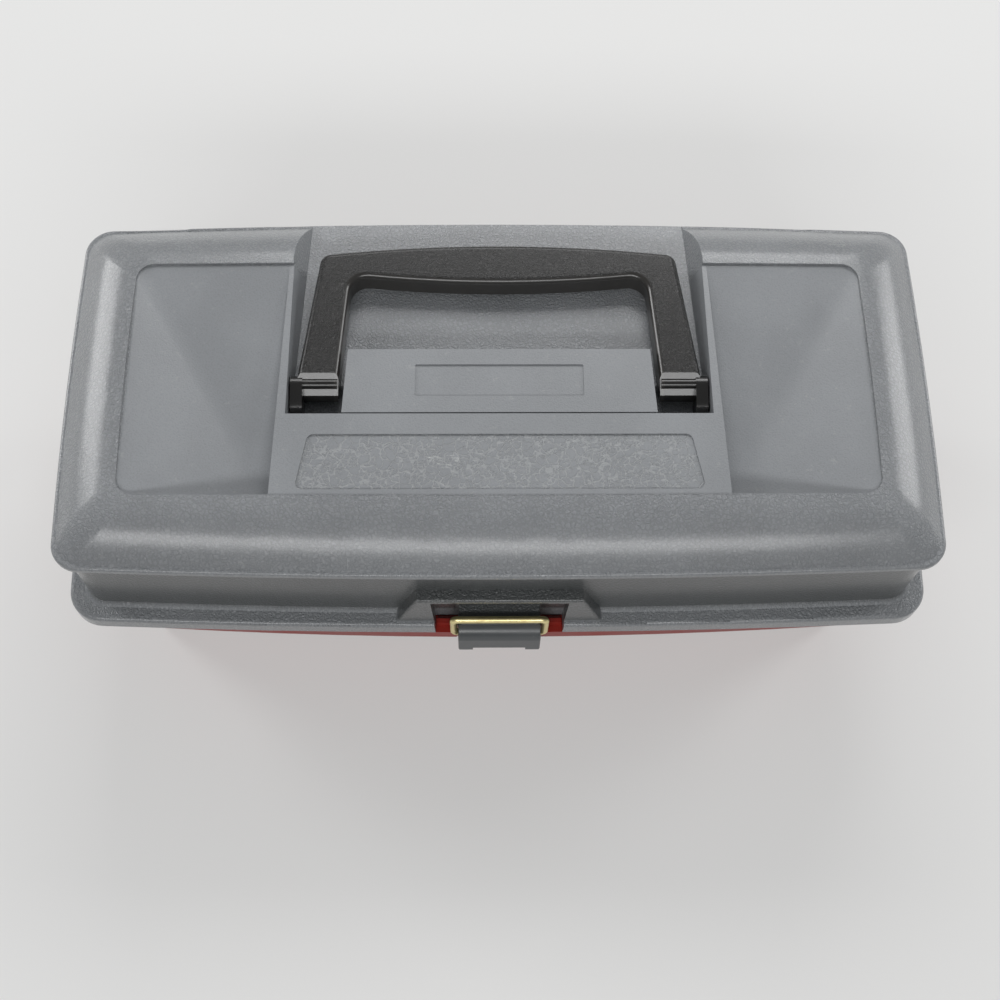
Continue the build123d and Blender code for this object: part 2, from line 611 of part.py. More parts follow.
def handle():
    """Folding carrying handle with an arched grip, flared legs and pegged ears"""
    top_z = HANDLE_TOP_Z
    low_z = top_z - HANDLE_T
    leg_foot_y = HANDLE_AXIS_Y + LEG_FOOT_STEP
    leg_out_x = HANDLE_OUT_X - LEG_FLARE
    half_outer = [
        Line((0, leg_foot_y), (leg_out_x, leg_foot_y)),
        Line((leg_out_x, leg_foot_y), (GRIP_CORNER_X, GRIP_CORNER_Y)),
        ThreePointArc((GRIP_CORNER_X, GRIP_CORNER_Y), (0, GRIP_BACK_Y), (-GRIP_CORNER_X, GRIP_CORNER_Y)),
        Line((-GRIP_CORNER_X, GRIP_CORNER_Y), (-leg_out_x, leg_foot_y)),
        Line((-leg_out_x, leg_foot_y), (0, leg_foot_y)),
    ]
    outer = make_face(half_outer)
    outer = fillet(outer.vertices().sort_by(Axis.Y)[-2:], GRIP_CORNER_R)
    opening = make_face([
        Line((0, leg_foot_y - OVER), (LEG_IN_X, leg_foot_y - OVER)),
        Line((LEG_IN_X, leg_foot_y - OVER), (FINGER_CORNER_X, FINGER_CORNER_Y)),
        ThreePointArc((FINGER_CORNER_X, FINGER_CORNER_Y), (0, GRIP_FRONT_Y),
                      (-FINGER_CORNER_X, FINGER_CORNER_Y)),
        Line((-FINGER_CORNER_X, FINGER_CORNER_Y), (-LEG_IN_X, leg_foot_y - OVER)),
        Line((-LEG_IN_X, leg_foot_y - OVER), (0, leg_foot_y - OVER)),
    ])
    opening = fillet(opening.vertices().sort_by(Axis.Y)[-2:], FINGER_CORNER_R)
    outer -= opening
    body = extrude(Pos(0, 0, low_z) * outer, amount=HANDLE_T)
    bevel_y = HANDLE_AXIS_Y + LEG_BEVEL_BACK
    bevel_foot = (leg_foot_y + LEG_BEVEL_FOOT, low_z + LEG_LIP_H)
    front_y = HANDLE_AXIS_Y - EAR_R
    body -= side_plate([(front_y, low_z - OVER), (front_y, top_z + OVER), (bevel_y, top_z + OVER),
                        (bevel_y, top_z), bevel_foot, (leg_foot_y, low_z - OVER)],
                       -HANDLE_OUT_X, HANDLE_OUT_X)
    tops = body.faces().sort_by(Axis.Z)[-1].edges().filter_by(lambda e: e.center().Y > bevel_y + OVER)
    body = fillet(tops, HANDLE_ROUND)
    bar = ((bevel_y + bevel_foot[0]) / 2, (top_z + bevel_foot[1]) / 2)
    ear_in = HANDLE_OUT_X - EAR_T
    for side in (-1, 1):
        x0, x1 = sorted((side * ear_in, side * HANDLE_OUT_X))
        ear = strap([(HANDLE_AXIS_Y, HANDLE_AXIS_Z), (HANDLE_AXIS_Y + EAR_REACH, low_z + HANDLE_T / 2)],
                    [EAR_R, HANDLE_T / 2 - EAR_STEP], x0, x1)
        body += ear
        x0, x1 = sorted((side * LEG_IN_X, side * (ear_in + OVER)))
        body += rod(LEG_BAR_R, x0, x1, bar)
        x0, x1 = sorted((side * (HANDLE_OUT_X - OVER), side * (HANDLE_OUT_X + HANDLE_PEG_L)))
        body += rod(HANDLE_PEG_R, x0, x1, (HANDLE_AXIS_Y, HANDLE_AXIS_Z))
    return body


def latch_lever():
    """Channel-shaped lever: front plate, rolled top and two cheeks with pivot holes"""
    foot_z = LATCH_AXIS_Z - LEVER_DROP
    front_y = LEVER_FRONT_Y
    back_y = BAIL_PIVOT_Y + LEVER_EYE_R
    skin_y = front_y + LEVER_SKIN
    inner = LEVER_HALF_X - CHEEK_T
    axis = Pos(LATCH_AXIS_Y, LATCH_AXIS_Z)
    profile = axis * Circle(LEVER_R)
    profile += make_face(Polyline((front_y, LATCH_AXIS_Z), (front_y, foot_z),
                                  (front_y + LEVER_LIP_T, foot_z - LEVER_LIP_DROP),
                                  (back_y, BAIL_PIVOT_Z - LEVER_EYE_HALF_H),
                                  (back_y, BAIL_PIVOT_Z + LEVER_EYE_HALF_H),
                                  (LATCH_AXIS_Y + LEVER_BACK, LATCH_AXIS_Z), close=True))
    body = extrude(Plane.YZ.offset(-LEVER_HALF_X) * profile, amount=2 * LEVER_HALF_X)
    room = axis * Circle(LEVER_R - LEVER_SKIN)
    deep = LEVER_DROP + LEVER_LIP_DROP + OVER
    wide = 2 * LEVER_R - LEVER_SKIN + OVER
    room += Pos(skin_y + wide / 2, LATCH_AXIS_Z - deep / 2) * Rectangle(wide, deep)
    room += Pos(LATCH_AXIS_Y + LEVER_R, LATCH_AXIS_Z + LEVER_R - OVER) * Rectangle(2 * LEVER_R, 2 * LEVER_R)
    body -= extrude(Plane.YZ.offset(-inner) * room, amount=2 * inner)
    ends = body.faces().sort_by(Axis.X)
    body = chamfer(ends[0].edges() + ends[-1].edges(), LEVER_EDGE)
    notch_top = LATCH_AXIS_Z - NUB_TOP_DROP + NOTCH_CLEAR
    notch_x = NUB_HALF_X + NOTCH_CLEAR
    body -= block(-notch_x, notch_x, front_y - OVER, back_y, foot_z - LEVER_LIP_DROP - OVER, notch_top)
    out_x = LEVER_HALF_X + OVER
    body -= rod(LATCH_PIN_R + FIT, -out_x, out_x, (LATCH_AXIS_Y, LATCH_AXIS_Z))
    body -= rod(BAIL_WIRE_R + FIT, -out_x, out_x, (BAIL_PIVOT_Y, BAIL_PIVOT_Z))
    return body


def latch_bail():
    """Bent wire loop whose turned-in ends sit in the lever's cheeks"""
    end_x = LEVER_HALF_X - CHEEK_T + BAIL_END_PROUD
    low = (BAIL_PIVOT_Y, BAIL_PIVOT_Z)
    high = (BAIL_BAR_Y, BAIL_BAR_Z)
    path = FilletPolyline((-end_x, *low), (-BAIL_LEG_X, *low), (-BAIL_LEG_X, *high), (BAIL_LEG_X, *high),
                          (BAIL_LEG_X, *low), (end_x, *low), radius=BAIL_BEND_R)
    profile = Plane(origin=(-end_x, *low), z_dir=(-1, 0, 0)) * Circle(BAIL_WIRE_R)
    return sweep(profile, path=path)


def hinge_pin(side):
    """Steel pin through one hinge"""
    half = LID_KNUCKLE_HALF + KNUCKLE_GAP + BASE_KNUCKLE_L + HINGE_PIN_PROUD
    centre = side * HINGE_CENTRES_X
    return rod(HINGE_PIN_R, centre - half, centre + half, (HINGE_Y, PARTING_Z))


def tray():
    """Lift-out tray with a long wall, a cross wall and ribs for loose dividers"""
    front, back = TRAY_FRONT_Y, TRAY_BACK_Y
    body = block(-TRAY_HALF_L, TRAY_HALF_L, front, back, TRAY_FOOT_Z, TRAY_TOP_Z)
    body = fillet(body.edges().filter_by(Axis.Z), TRAY_CORNER_R)
    body = chamfer(body.edges().group_by(Axis.Z)[0], TRAY_FOOT_BEVEL)
    inner = TRAY_HALF_L - TRAY_WALL
    half_wall = TRAY_WALL / 2
    floor_z = TRAY_FOOT_Z + TRAY_WALL
    rooms = [
        (-inner, inner, front + TRAY_WALL, TRAY_LONG_WALL_Y - half_wall),
        (-inner, TRAY_CROSS_WALL_X - half_wall, TRAY_LONG_WALL_Y + half_wall, back - TRAY_WALL),
        (TRAY_CROSS_WALL_X + half_wall, inner, TRAY_LONG_WALL_Y + half_wall, back - TRAY_WALL),
    ]
    for x0, x1, y0, y1 in rooms:
        room = block(x0, x1, y0, y1, floor_z, TRAY_TOP_Z + OVER)
        body -= fillet(room.edges().filter_by(Axis.Z), TRAY_CORNER_R - TRAY_WALL)
    row_front = front + TRAY_WALL
    row_back = TRAY_LONG_WALL_Y - half_wall
    rib_top = TRAY_TOP_Z - DIVIDER_LOWER
    for centre in DIVIDER_CENTRES_X:
        for end in (-1, 1):
            near = centre + end * (DIVIDER_T / 2 + DIVIDER_GAP / 2)
            x0, x1 = sorted((near, near + end * RIB_T))
            low_z = floor_z - RIB_ROOT
            body += block(x0, x1, row_front - RIB_ROOT, row_front + RIB_REACH, low_z, rib_top)
            body += block(x0, x1, row_back - RIB_REACH, row_back + RIB_ROOT, low_z, rib_top)
    for side in (-1, 1):
        for centre in (TRAY_REAR, TRAY_FRONT):
            x0, x1 = sorted((side * (TRAY_HALF_L - TRAY_WALL / 2), side * (ARM_IN_X - TRAY_BOSS_GAP)))
            body += rod(TRAY_BOSS_R, x0, x1, centre)
            x0, x1 = sorted((side * (inner - OVER), side * ARM_IN_X))
            body -= rod(RIVET_R, x0, x1, centre)
    return body


def tray_divider(centre):
    """Loose cross divider standing between two pairs of ribs"""
    half = DIVIDER_T / 2
    y0 = TRAY_FRONT_Y + TRAY_WALL + DIVIDER_GAP
    y1 = TRAY_LONG_WALL_Y - TRAY_WALL / 2 - DIVIDER_GAP
    top_z = TRAY_TOP_Z - DIVIDER_LOWER
    body = block(centre - half, centre + half, y0, y1, TRAY_FOOT_Z + TRAY_WALL, top_z)
    mid_y = (y0 + y1) / 2
    dip_z = TRAY_TOP_Z - DIVIDER_DIP
    dip = [(mid_y - DIVIDER_DIP_TOP, TRAY_TOP_Z), (mid_y - DIVIDER_DIP_FOOT, dip_z),
           (mid_y + DIVIDER_DIP_FOOT, dip_z), (mid_y + DIVIDER_DIP_TOP, TRAY_TOP_Z)]
    return body - side_plate(dip, centre - DIVIDER_T, centre + DIVIDER_T)


def arm(centres, radii, x0, thickness):
    """Flat arm on the right, cranked at any middle pivot, with a running hole at each pivot"""
    body = strap(centres[:2], radii[:2], x0, x0 + thickness)
    if len(centres) > 2:
        body += strap(centres[1:], radii[1:], x0, x0 + thickness)
    for centre in centres:
        body -= rod(RIVET_R + FIT, x0 - OVER, x0 + thickness + OVER, centre)
    return body


def rivet(centre, x0, x1, head_in, collar):
    """Rivet from x0 to x1 with one head, and a spacing collar where two straps stand apart"""
    body = rod(RIVET_R, x0, x1, centre)
    if head_in:
        body += rod(RIVET_HEAD_R, x0, x0 + RIVET_HEAD_T, centre)
    else:
        body += rod(RIVET_HEAD_R, x1 - RIVET_HEAD_T, x1, centre)
    if collar:
        body += rod(COLLAR_R, collar[0], collar[1], centre)
    return body


def rivets():
    """The right-hand rivets by name"""
    arm_out = ARM_IN_X + ARM_T
    link_out = LINK_IN_X + LINK_T
    head_x = ARM_IN_X - RIVET_PLAY - RIVET_HEAD_T
    tray_in = TRAY_HALF_L - TRAY_WALL - RIVET_TAIL
    tray_out = arm_out + RIVET_PLAY + RIVET_HEAD_T
    lid_in = LINK_IN_X - RIVET_PLAY - RIVET_HEAD_T
    collar = (arm_out + RIVET_PLAY, LINK_IN_X - RIVET_PLAY)
    boss_collar = (arm_out + RIVET_PLAY, BOSS_IN_X - RIVET_PLAY)
    return {
        "base_rivet_rear": rivet(BASE_REAR, head_x, RIVET_END_X, True, boss_collar),
        "base_rivet_front": rivet(BASE_FRONT, head_x, RIVET_END_X, True, boss_collar),
        "tray_rivet_rear": rivet(TRAY_REAR, tray_in, tray_out, False, None),
        "tray_rivet_front": rivet(TRAY_FRONT, tray_in, tray_out, False, None),
        "link_rivet_low": rivet(LINK_LOW, ARM_IN_X - RIVET_HEAD_T, link_out + LINK_RIVET_PROUD, True, collar),
        "link_rivet_high": rivet(LINK_HIGH, lid_in, LID_RIVET_END_X, True, None),
    }


def all_parts():
    """Every piece by its name"""
    pin_x = LEVER_HALF_X - LATCH_PIN_SHORT
    parts = {
        "base_tub": base_tub(),
        "lid_shell": lid_shell(),
        "carry_handle": handle(),
        "latch_lever": latch_lever(),
        "latch_bail": latch_bail(),
        "latch_pin": rod(LATCH_PIN_R, -pin_x, pin_x, (LATCH_AXIS_Y, LATCH_AXIS_Z)),
        "hinge_pin_left": hinge_pin(-1),
        "hinge_pin_right": hinge_pin(1),
        "tray": tray(),
    }
    for number, centre in enumerate(DIVIDER_CENTRES_X, 1):
        parts[f"tray_divider_{number}"] = tray_divider(centre)
    pairs = {
        "rear_arm": arm([BASE_REAR, TRAY_REAR, LINK_LOW], [ARM_END_R, ARM_END_R, LINK_END_R],
                        ARM_IN_X, ARM_T),
        "front_arm": arm([BASE_FRONT, TRAY_FRONT], [ARM_END_R, ARM_END_R], ARM_IN_X, ARM_T),
        "lid_link": arm([LINK_LOW, LINK_HIGH], [LINK_END_R, LINK_END_R], LINK_IN_X, LINK_T),
    }
    pairs.update(rivets())
    for name, solid in pairs.items():
        for side, piece in both_sides(solid).items():
            parts[f"{name}_{side}"] = piece
    return parts


os.makedirs("parts", exist_ok=True)
for node, solid in all_parts().items():
    export_step(solid, f"parts/{node}.step")
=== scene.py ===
import json
import logging
import math
from dataclasses import dataclass, field
from enum import Enum

import bpy
from mathutils import Matrix, Vector


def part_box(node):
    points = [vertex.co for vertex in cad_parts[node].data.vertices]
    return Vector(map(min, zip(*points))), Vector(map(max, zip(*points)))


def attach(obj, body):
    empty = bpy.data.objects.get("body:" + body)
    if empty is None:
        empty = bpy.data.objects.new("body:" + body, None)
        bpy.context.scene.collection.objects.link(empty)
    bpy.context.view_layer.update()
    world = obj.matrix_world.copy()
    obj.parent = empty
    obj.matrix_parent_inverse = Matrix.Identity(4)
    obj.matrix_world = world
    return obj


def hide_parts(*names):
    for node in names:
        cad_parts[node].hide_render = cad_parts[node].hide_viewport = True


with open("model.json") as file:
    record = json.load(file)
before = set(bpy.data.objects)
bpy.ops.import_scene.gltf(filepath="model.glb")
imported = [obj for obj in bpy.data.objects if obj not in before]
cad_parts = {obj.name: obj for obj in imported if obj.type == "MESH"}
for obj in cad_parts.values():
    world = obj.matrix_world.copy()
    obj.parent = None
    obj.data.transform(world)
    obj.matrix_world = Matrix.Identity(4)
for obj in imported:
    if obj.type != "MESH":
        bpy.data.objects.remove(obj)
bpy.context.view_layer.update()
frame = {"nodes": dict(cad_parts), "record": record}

LOG = logging.getLogger("tackle_box")
MM = 0.001

Colour = tuple[float, float, float]
Place = tuple[float, float, float]

LEATHER_CELLS = (3.6 * MM, 1.6 * MM)
LEATHER_PATCH = 5.0 * MM
PEBBLE_CELLS = (1.7 * MM, 0.95 * MM)
SAND_CELLS = (0.55 * MM, 0.8 * MM)
SATIN_CELLS = 0.9 * MM


class Grain(Enum):
    """Moulded textures of the box."""

    LEATHER = "leather"
    PEBBLE = "pebble"
    SAND = "sand"
    SATIN = "satin"


class Canvas:
    """Node tree of one material, with short calls that add and join nodes."""

    def __init__(self, name: str) -> None:
        """Start an empty tree.

        Args:
            name: Name of the material.
        """
        self.material = bpy.data.materials.new(name)
        self.material.use_nodes = True
        self.tree = self.material.node_tree
        self.tree.nodes.clear()
        self.output = self.tree.nodes.new("ShaderNodeOutputMaterial")
        self.shader = self.tree.nodes.new("ShaderNodeBsdfPrincipled")
        self.link(self.shader.outputs["BSDF"], self.output.inputs["Surface"])
        coordinates = self.tree.nodes.new("ShaderNodeTexCoord")
        self.place = coordinates.outputs["Object"]
        split = self.tree.nodes.new("ShaderNodeSeparateXYZ")
        self.link(self.place, split.inputs["Vector"])
        self.x, self.y, self.z = split.outputs
        facing = self.tree.nodes.new("ShaderNodeSeparateXYZ")
        self.link(coordinates.outputs["Normal"], facing.inputs["Vector"])
        self.up = facing.outputs["Z"]

    def link(self, source: bpy.types.NodeSocket, target: bpy.types.NodeSocket) -> None:
        """Join two sockets.

        Args:
            source: Socket that gives the value.
            target: Socket that takes it.
        """
        self.tree.links.new(source, target)

    def feed(self, target: bpy.types.NodeSocket, value: object) -> None:
        """Give a socket a link or a plain value.

        Args:
            target: Socket to fill.
            value: Another socket, a number, or a colour.
        """
        if isinstance(value, bpy.types.NodeSocket):
            self.link(value, target)
        else:
            target.default_value = value

    def math(self, kind: str, *values: object, clamp: bool = False) -> bpy.types.NodeSocket:
        """Add a Math node.

        Args:
            kind: Operation, such as ADD.
            values: Its inputs, each a socket or a number.
            clamp: Keep the result between 0 and 1.

        Returns:
            The node's output.
        """
        node = self.tree.nodes.new("ShaderNodeMath")
        node.operation = kind
        node.use_clamp = clamp
        for socket, value in zip(node.inputs, values):
            self.feed(socket, value)
        return node.outputs[0]

    def ramp(self, value: object, low: float, high: float,
             start: float = 0.0, end: float = 1.0) -> bpy.types.NodeSocket:
        """Turn one range of a value into another, smoothly.

        Args:
            value: Socket that is read.
            low: Value that gives start.
            high: Value that gives end.
            start: Result at and below low.
            end: Result at and above high.

        Returns:
            The new value.
        """
        node = self.tree.nodes.new("ShaderNodeMapRange")
        node.interpolation_type = "SMOOTHSTEP"
        for name, number in zip(("From Min", "From Max", "To Min", "To Max"), (low, high, start, end)):
            node.inputs[name].default_value = number
        self.feed(node.inputs["Value"], value)
        return node.outputs["Result"]

    def noise(self, size: float, detail: float = 2.0, rough: float = 0.5,
              stretch: Place | None = None, warp: float = 0.0) -> bpy.types.NodeSocket:
        """Add a noise pattern.

        Args:
            size: Size of its features in metres.
            detail: Number of finer layers.
            rough: Strength of the finer layers.
            stretch: Scale of the pattern along each axis.
            warp: How far the pattern is twisted.

        Returns:
            The noise value.
        """
        node = self.tree.nodes.new("ShaderNodeTexNoise")
        node.inputs["Scale"].default_value = 1.0 / size
        node.inputs["Detail"].default_value = detail
        node.inputs["Roughness"].default_value = rough
        node.inputs["Distortion"].default_value = warp
        self.link(self.stretched(stretch), node.inputs["Vector"])
        return node.outputs["Fac"]

    def stretched(self, scale: Place | None) -> bpy.types.NodeSocket:
        """Place of the shaded point, scaled along each axis.

        Args:
            scale: Scale along X, Y and Z, or None for the plain place.

        Returns:
            The vector to read a pattern with.
        """
        if scale is None:
            return self.place
        node = self.tree.nodes.new("ShaderNodeMapping")
        node.inputs["Scale"].default_value = scale
        self.link(self.place, node.inputs["Vector"])
        return node.outputs["Vector"]

    def cells(self, size: float, edges: bool, wander: float = 0.3) -> bpy.types.NodeSocket:
        """Add a cell pattern whose walls wander, as in leather grain.

        Args:
            size: Size of a cell in metres.
            edges: Give the distance to the cell's wall, not to its middle.
            wander: How far the walls wander, in cells.

        Returns:
            The distance in cells.
        """
        shift = self.tree.nodes.new("ShaderNodeTexNoise")
        shift.inputs["Scale"].default_value = 1.3 / size
        shift.inputs["Detail"].default_value = 1.0
        self.link(self.place, shift.inputs["Vector"])
        offset = self.tree.nodes.new("ShaderNodeVectorMath")
        offset.operation = "MULTIPLY_ADD"
        self.link(shift.outputs["Color"], offset.inputs[0])
        offset.inputs[1].default_value = (wander * size,) * 3
        self.link(self.place, offset.inputs[2])
        node = self.tree.nodes.new("ShaderNodeTexVoronoi")
        node.feature = "DISTANCE_TO_EDGE" if edges else "F1"
        node.inputs["Scale"].default_value = 1.0 / size
        self.link(offset.outputs["Vector"], node.inputs["Vector"])
        return node.outputs["Distance"]

    def blend(self, share: object, first: object, second: object) -> bpy.types.NodeSocket:
        """Mix two colours.

        Args:
            share: How much of the second colour shows.
            first: Colour at 0.
            second: Colour at 1.

        Returns:
            The mixed colour.
        """
        node = self.tree.nodes.new("ShaderNodeMix")
        node.data_type = "RGBA"
        self.feed(node.inputs[0], share)
        for socket, value in ((node.inputs[6], first), (node.inputs[7], second)):
            self.feed(socket, (*value, 1.0) if isinstance(value, tuple) else value)
        return node.outputs[2]

    def mix(self, share: object, first: object, second: object) -> bpy.types.NodeSocket:
        """Mix two numbers.

        Args:
            share: How much of the second number shows.
            first: Number at 0.
            second: Number at 1.

        Returns:
            The mixed number.
        """
        node = self.tree.nodes.new("ShaderNodeMix")
        node.data_type = "FLOAT"
        for socket, value in ((node.inputs[0], share), (node.inputs[2], first), (node.inputs[3], second)):
            self.feed(socket, value)
        return node.outputs[0]

    def bump(self, height: bpy.types.NodeSocket, depth: float, strength: float = 1.0) -> None:
        """Raise the surface by a pattern.

        Args:
            height: Pattern from 0 to 1.
            depth: Height of the pattern in metres.
            strength: Share of the slope that shows.
        """
        node = self.tree.nodes.new("ShaderNodeBump")
        node.inputs["Distance"].default_value = depth
        node.inputs["Strength"].default_value = strength
        self.link(height, node.inputs["Height"])
        self.link(node.outputs["Normal"], self.shader.inputs["Normal"])

    def inside(self, half_x: object, half_y: float, middle_y: float, corner: float,
               soft: float, across: object = None) -> bpy.types.NodeSocket:
        """Share of a rounded rectangle seen from above.

        Args:
            half_x: Half its length, a number or a socket.
            half_y: Half its width.
            middle_y: Where its middle stands.
            corner: Radius of its corners.
            soft: Width over which its edge fades.
            across: Place across the box, where it isn't plain Y.

        Returns:
            1 inside and 0 outside.
        """
        over_x = self.math("ADD", self.math("SUBTRACT", self.math("ABSOLUTE", self.x), half_x), corner)
        across = self.y if across is None else across
        from_middle = self.math("ABSOLUTE", self.math("SUBTRACT", across, middle_y))
        over_y = self.math("SUBTRACT", from_middle, half_y - corner)
        out_x = self.math("MAXIMUM", over_x, 0.0)
        out_y = self.math("MAXIMUM", over_y, 0.0)
        reach = self.math("SQRT", self.math("ADD", self.math("MULTIPLY", out_x, out_x),
                                            self.math("MULTIPLY", out_y, out_y)))
        within = self.math("MINIMUM", self.math("MAXIMUM", over_x, over_y), 0.0)
        distance = self.math("SUBTRACT", self.math("ADD", reach, within), corner)
        return self.ramp(distance, -soft, soft, 1.0, 0.0)

    def grain(self, kind: Grain) -> bpy.types.NodeSocket:
        """Height of one of the moulded textures.

        Args:
            kind: Which texture.

        Returns:
            Its height, about 0 to 1.
        """
        if kind is Grain.LEATHER:
            large = self.ramp(self.cells(LEATHER_CELLS[0], True, 0.8), 0.0, 0.09)
            small = self.ramp(self.cells(LEATHER_CELLS[1], True, 0.8), 0.0, 0.12)
            kept = self.ramp(self.noise(LEATHER_PATCH, 2.0), 0.42, 0.58)
            return self.math("MULTIPLY", large, self.mix(kept, small, 1.0))
        if kind is Grain.PEBBLE:
            pebbles = self.ramp(self.cells(PEBBLE_CELLS[0], True, 0.7), 0.0, 0.32)
            small = self.ramp(self.cells(PEBBLE_CELLS[1], True, 0.6), 0.0, 0.3)
            return self.math("ADD", self.math("MULTIPLY", pebbles, 0.6), self.math("MULTIPLY", small, 0.4))
        if kind is Grain.SAND:
            return self.math("ADD", self.math("MULTIPLY", self.noise(SAND_CELLS[0], 2.0, 0.6), 0.8),
                             self.math("MULTIPLY", self.cells(SAND_CELLS[1], False), 0.3))
        return self.noise(SATIN_CELLS, 2.0)


@dataclass(frozen=True)
class LidPlastic:
    """Grey moulded plastic of the lid, with a texture of its own in each zone."""

    colour: Colour = (0.272, 0.284, 0.298)
    dust: Colour = (0.46, 0.46, 0.45)
    # Colour of the painted shade in the pits of the grain.
    pit_painted_shade: Colour = (0.085, 0.09, 0.088)
    shaded: Colour = (0.040, 0.044, 0.042)
    scuffs: tuple[tuple[float, float, float, float], ...] = (
        (-21.0 * MM, -35.0 * MM, 9.0 * MM, 3.2 * MM),
        (-139.0 * MM, 63.0 * MM, 4.5 * MM, 2.0 * MM),
        (135.0 * MM, 60.0 * MM, 4.0 * MM, 2.0 * MM))
    field_half: tuple[float, float] = (140.2 * MM, 48.9 * MM)
    field_corner: float = 6.8 * MM
    panel_half_back: float = 71.4 * MM
    panel_flare: float = 4.2 * MM
    panel_back_y: float = -24.2 * MM
    panel_front_y: float = -46.6 * MM
    panel_corner: float = 2.8 * MM
    down_facing: tuple[float, float] = (-0.25, -0.10)
    crown_foot_z: tuple[float, float] = (116.5 * MM, 118.0 * MM)
    wall_foot_z: tuple[float, float] = (71.2 * MM, 73.5 * MM)
    wall_top_z: tuple[float, float] = (110.0 * MM, 111.8 * MM)
    # Share of painted shade on the undercut wall below the rim lip.
    wall_painted_shade: float = 0.80
    # Colour of the painted highlight along the creases of the label panel.
    crease_painted_highlight: Colour = (0.46, 0.47, 0.47)
    scratch: Colour = (0.72, 0.73, 0.72)
    grain_depth: float = 0.32 * MM
    rough_crown: float = 0.34
    rough_pans: float = 0.46
    sheen_share: float = 0.75
    sheen_rough: float = 0.23

    def material(self) -> bpy.types.Material:
        """Build the material."""
        c = Canvas("grey_lid_plastic_grain")
        # The shell's inner faces look down, and the mould leaves them without grain.
        outside = c.ramp(c.up, *self.down_facing)
        top = c.math("MULTIPLY", outside, c.ramp(c.z, *self.crown_foot_z))
        pans = c.math("MULTIPLY", top, c.inside(*self.field_half, 0.0, self.field_corner, 0.25 * MM))
        panel = c.math("MULTIPLY", top, self.label_recess(c))
        pebble, leather, sand = (c.grain(kind) for kind in (Grain.PEBBLE, Grain.LEATHER, Grain.SAND))
        height = c.mix(outside, c.math("MULTIPLY", sand, 0.2), pebble)
        height = c.mix(pans, height, c.math("MULTIPLY", sand, 0.30))
        height = c.mix(panel, height, c.math("MULTIPLY", leather, 0.6))
        c.bump(height, self.grain_depth, 0.9)

        cloud = c.noise(30 * MM, 2.0, 0.5)
        tint = c.blend(c.ramp(cloud, 0.35, 0.7), tuple(v * 0.95 for v in self.colour),
                       tuple(v * 1.04 for v in self.colour))
        grained = c.math("MULTIPLY", outside, c.math("SUBTRACT", 1.0, pans))
        dusty = c.math("MULTIPLY", c.ramp(c.noise(3.5 * MM, 4.0, 0.75), 0.58, 0.74), 0.22)
        wall = c.math("MULTIPLY", c.ramp(c.z, *self.wall_foot_z), c.ramp(c.z, *self.wall_top_z, 1.0, 0.0))
        layers = (
            # Painted shade: the pits of the pebble grain and of the pans' sand grain are darkened, so that the
            # grain reads as light and shade.
            (c.math("MULTIPLY", grained, c.ramp(pebble, 0.15, 0.75, 0.24, 0.0)), self.pit_painted_shade),
            (c.math("MULTIPLY", pans, c.ramp(sand, 0.30, 0.62, 0.16, 0.0)), self.pit_painted_shade),
            (dusty, self.dust),
            # Painted highlight: the creases of the label panel's leather grain are lightened, standing in for
            # the light caught on their edges.
            (c.math("MULTIPLY", panel, c.ramp(leather, 0.20, 0.80, 0.34, 0.0)), self.crease_painted_highlight),
            (self.scuffed(c, top), self.scratch),
            # Painted shade: the undercut wall between the ledge and the rim lip is darkened, standing in for
            # the shade under the lip.
            (c.math("MULTIPLY", wall, self.wall_painted_shade), self.shaded),
        )
        for share, colour in layers:
            tint = c.blend(share, tint, colour)
        c.feed(c.shader.inputs["Base Color"], tint)
        rough = c.mix(pans, self.rough_crown, self.rough_pans)
        rough = c.math("ADD", rough, c.ramp(cloud, 0.3, 0.75, -0.04, 0.05))
        c.feed(c.shader.inputs["Roughness"], rough)
        c.shader.inputs["Coat Weight"].default_value = self.sheen_share
        c.shader.inputs["Coat Roughness"].default_value = self.sheen_rough
        return c.material

    def label_recess(self, c: Canvas) -> bpy.types.NodeSocket:
        """Share of the console's label recess, which widens towards the front.

        Args:
            c: Tree of the material.

        Returns:
            1 within the recess seen from above.
        """
        depth = self.panel_back_y - self.panel_front_y
        share = c.math("DIVIDE", c.math("SUBTRACT", self.panel_back_y, c.y), depth)
        half = c.math("ADD", c.math("MULTIPLY", share, self.panel_flare), self.panel_half_back)
        middle = (self.panel_back_y + self.panel_front_y) / 2
        return c.inside(half, depth / 2, middle, self.panel_corner, 0.15 * MM)

    def scuffed(self, c: Canvas, top: bpy.types.NodeSocket) -> bpy.types.NodeSocket:
        """Share of the pale strokes that things dragged over the lid have left.

        Args:
            c: Tree of the material.
            top: 1 on the lid's upper faces.

        Returns:
            The share of worn plastic.
        """
        strokes = c.ramp(c.noise(1.5 * MM, 4.0, 0.7, (0.35, 1.5, 1.0), 1.2), 0.54, 0.66)
        share = None
        for x, y, half_x, half_y in self.scuffs:
            off_x = c.math("DIVIDE", c.math("SUBTRACT", c.x, x), half_x)
            off_y = c.math("DIVIDE", c.math("SUBTRACT", c.y, y), half_y)
            reach = c.math("ADD", c.math("MULTIPLY", off_x, off_x), c.math("MULTIPLY", off_y, off_y))
            spot = c.ramp(reach, 0.3, 1.0, 1.0, 0.0)
            share = spot if share is None else c.math("MAXIMUM", share, spot)
        return c.math("MULTIPLY", c.math("MULTIPLY", share, strokes), c.math("MULTIPLY", top, 0.8))


